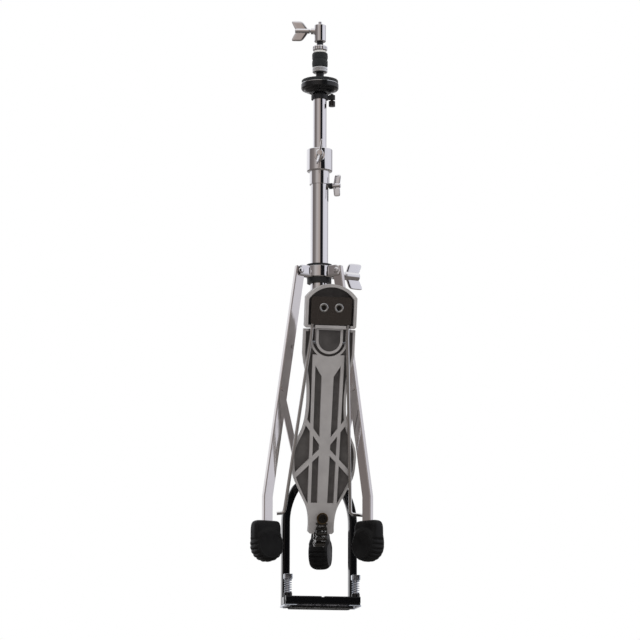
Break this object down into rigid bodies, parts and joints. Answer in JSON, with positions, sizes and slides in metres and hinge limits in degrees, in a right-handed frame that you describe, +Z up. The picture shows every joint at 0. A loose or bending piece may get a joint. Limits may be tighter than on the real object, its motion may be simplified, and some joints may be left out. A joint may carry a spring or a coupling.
{
  "type": "hi-hat stand",
  "caption": "Folded three-leg hi-hat stand with a hinged pedal under an arched frame, pull rod, cymbal clutch, tilting seat and braced tripod.",
  "frame": {"origin": "on the tube's axis at floor level, on the underside of the base pad", "axes": "+Z up along the tube, -Y towards the drummer's side where the pedal opens, +X to the drummer's right"},
  "size_m": [0.2077, 0.2372, 0.9587],
  "materials": {
    "chrome": "polished",
    "nylon": "satin",
    "white_nylon": "satin",
    "gloss_plastic": "gloss",
    "gloss_black": "gloss",
    "rubber": "satin",
    "felt": "matte",
    "cast_alloy": "satin",
    "zinc_steel": "satin",
    "dark_steel": "oiled",
    "bronze": "satin"
  },
  "bodies": {
    "stand_frame": {"base_tube": "chrome", "tube_bush": "nylon", "height_clamp": "chrome", "rod_guide": "nylon", "pedal_frame": "gloss_black", "cross_bar": "gloss_black", "base_plate": "zinc_steel", "floor_pad": "rubber", "frame_screws": "zinc_steel"},
    "height_tube": {"upper_tube": "chrome", "seat_holder": "nylon"},
    "seat": {"seat_cup": "gloss_plastic", "seat_washer": "zinc_steel", "seat_felt": "felt"},
    "tilt_screw": {"tilt_screw": "dark_steel"},
    "clamp_wing_bolt": {"clamp_wing_bolt": "chrome"},
    "tension_carriage": {"tension_carriage": "zinc_steel"},
    "tension_screw": {"tension_wing_screw": "chrome", "tension_washer": "nylon"},
    "pull_rod": {"pull_rod": "chrome", "rod_collar": "zinc_steel", "return_spring": "zinc_steel", "chain_clevis": "dark_steel", "chain_upper": "dark_steel"},
    "clutch": {"clutch_body": "chrome", "clutch_sleeve": "nylon", "clutch_washer": "white_nylon", "clutch_felts": "felt"},
    "clutch_lock_nut": {"clutch_lock_nut": "chrome"},
    "clutch_bottom_nut": {"clutch_bottom_nut": "chrome"},
    "clutch_wing_bolt": {"clutch_wing_bolt": "chrome"},
    "lower_hub": {"lower_hub": "chrome", "lower_hub_pins": "chrome"},
    "leg_hub": {"leg_hub": "chrome", "hub_bush": "nylon", "leg_hub_pins": "chrome"},
    "hub_wing_bolt": {"hub_wing_bolt": "chrome"},
    "footboard": {"footboard": "cast_alloy", "toe_bolt": "dark_steel", "toe_washer": "bronze", "chain_toe": "dark_steel", "hinge_pin": "zinc_steel"},
    "heel_plate": {"heel_plate": "cast_alloy", "rod_clamp_plate": "gloss_black", "rod_clamp_screws": "zinc_steel", "radius_rod_left": "chrome", "radius_rod_right": "chrome"},
    "spur_left": {"spur_bolt_left": "chrome", "spur_spring_left": "zinc_steel"},
    "spur_right": {"spur_bolt_right": "chrome", "spur_spring_right": "zinc_steel"},
    "leg_left": {"leg_left": "chrome", "foot_left": "rubber"},
    "brace_left": {"brace_left": "chrome"},
    "leg_right": {"leg_right": "chrome", "foot_right": "rubber"},
    "brace_right": {"brace_right": "chrome"},
    "leg_rear": {"leg_rear": "chrome", "foot_rear": "rubber"},
    "brace_rear": {"brace_rear": "chrome"}
  },
  "joints": [
    {"name": "height_slide", "type": "slide", "parent": "stand_frame", "child": "height_tube", "axis": [0, 0, 1], "range_m": [-0.045, 0]},
    {"name": "clamp_wing_turn", "type": "hinge", "parent": "stand_frame", "child": "clamp_wing_bolt", "pos_m": [-0.00695, -0.03939, 0.727], "axis": [-0.1736, -0.9848, 0], "continuous": true},
    {"name": "tilt_screw_turn", "type": "hinge", "parent": "height_tube", "child": "tilt_screw", "pos_m": [0.02, 0, 0.824], "axis": [0, 0, 1], "range_deg": [0, 1080]},
    {"name": "seat_tilt", "type": "hinge", "parent": "height_tube", "child": "seat", "pos_m": [0, 0, 0.841], "axis": [0, -1, 0], "range_deg": [0, 6]},
    {"name": "tension_slide", "type": "slide", "parent": "stand_frame", "child": "tension_carriage", "axis": [0, 0, -1], "range_m": [0, 0.022]},
    {"name": "tension_screw_turn", "type": "hinge", "parent": "tension_carriage", "child": "tension_screw", "pos_m": [0.02538, -0.01183, 0.681], "axis": [0.9063, -0.4226, 0], "continuous": true},
    {"name": "rod_pull", "type": "slide", "parent": "stand_frame", "child": "pull_rod", "axis": [0, 0, -1], "range_m": [0, 0.008], "stiffness_N_per_m": 600, "springref_m": -0.03, "deforming": ["return_spring"]},
    {"name": "clutch_slide", "type": "slide", "parent": "pull_rod", "child": "clutch", "axis": [0, 0, 1], "range_m": [-0.009, 0.04]},
    {"name": "clutch_lock_nut_turn", "type": "hinge", "parent": "clutch", "child": "clutch_lock_nut", "pos_m": [0, 0, 0.9114], "axis": [0, 0, 1], "continuous": true},
    {"name": "clutch_bottom_nut_turn", "type": "hinge", "parent": "clutch", "child": "clutch_bottom_nut", "pos_m": [0, 0, 0.875], "axis": [0, 0, 1], "continuous": true},
    {"name": "clutch_wing_turn", "type": "hinge", "parent": "clutch", "child": "clutch_wing_bolt", "pos_m": [-0.02971, 0.00417, 0.941], "axis": [-0.9903, 0.1392, 0], "continuous": true},
    {"name": "leg_swivel", "type": "hinge", "parent": "stand_frame", "child": "lower_hub", "pos_m": [0, 0, 0.222], "axis": [0, 0, 1], "range_deg": [0, 14]},
    {"name": "hub_slide", "type": "slide", "parent": "lower_hub", "child": "leg_hub", "axis": [0, 0, -1], "range_m": [0, 0.1634]},
    {"name": "hub_wing_turn", "type": "hinge", "parent": "leg_hub", "child": "hub_wing_bolt", "pos_m": [0.05706, 0.01854, 0.539], "axis": [0.9511, 0.309, 0], "continuous": true},
    {"name": "leg_left_fold", "type": "hinge", "parent": "leg_hub", "child": "leg_left", "pos_m": [-0.03424, -0.01112, 0.539], "axis": [-0.309, 0.9511, 0], "range_deg": [0, 31.48]},
    {"name": "brace_left_fold", "type": "hinge", "parent": "lower_hub", "child": "brace_left", "pos_m": [-0.03139, -0.0102, 0.222], "axis": [0.309, -0.9511, 0], "range_deg": [0, 74.04]},
    {"name": "leg_right_fold", "type": "hinge", "parent": "leg_hub", "child": "leg_right", "pos_m": [0.02675, -0.02409, 0.539], "axis": [-0.6691, -0.7431, 0], "range_deg": [0, 31.48]},
    {"name": "brace_right_fold", "type": "hinge", "parent": "lower_hub", "child": "brace_right", "pos_m": [0.02452, -0.02208, 0.222], "axis": [0.6691, 0.7431, 0], "range_deg": [0, 74.04]},
    {"name": "leg_rear_fold", "type": "hinge", "parent": "leg_hub", "child": "leg_rear", "pos_m": [0.00749, 0.03521, 0.539], "axis": [0.9781, -0.2079, 0], "range_deg": [0, 31.48]},
    {"name": "brace_rear_fold", "type": "hinge", "parent": "lower_hub", "child": "brace_rear", "pos_m": [0.00686, 0.03228, 0.222], "axis": [-0.9781, 0.2079, 0], "range_deg": [0, 74.04]},
    {"name": "pedal_fold", "type": "hinge", "parent": "pull_rod", "child": "footboard", "pos_m": [0, -0.01, 0.101], "axis": [1, 0, 0], "range_deg": [0, 92.3]},
    {"name": "heel_hinge", "type": "hinge", "parent": "footboard", "child": "heel_plate", "pos_m": [0, -0.08798, 0.41046], "axis": [-1, 0, 0], "range_deg": [0, 15.6]},
    {"name": "spur_left_advance", "type": "slide", "parent": "stand_frame", "child": "spur_left", "axis": [0, 0, -1], "range_m": [0, 0.01], "stiffness_N_per_m": 300, "springref_m": -0.005, "deforming": ["spur_spring_left"]},
    {"name": "spur_right_advance", "type": "slide", "parent": "stand_frame", "child": "spur_right", "axis": [0, 0, -1], "range_m": [0, 0.01], "stiffness_N_per_m": 300, "springref_m": -0.005, "deforming": ["spur_spring_right"]}
  ],
  "couplings": [
    {"joint": "leg_left_fold", "follows": "hub_slide", "rad_per_m": 3.3411},
    {"joint": "brace_left_fold", "follows": "hub_slide", "rad_per_m": 7.8871},
    {"joint": "leg_right_fold", "follows": "hub_slide", "rad_per_m": 3.3411},
    {"joint": "brace_right_fold", "follows": "hub_slide", "rad_per_m": 7.8871},
    {"joint": "leg_rear_fold", "follows": "hub_slide", "rad_per_m": 3.3411},
    {"joint": "brace_rear_fold", "follows": "hub_slide", "rad_per_m": 7.8871},
    {"joint": "pedal_fold", "follows": "hub_slide", "rad_per_m": 9.8375},
    {"joint": "heel_hinge", "follows": "hub_slide", "rad_per_m": 1.6449},
    {"joint": "seat_tilt", "follows": "tilt_screw_turn", "ratio": 0.0055556}
  ]
}
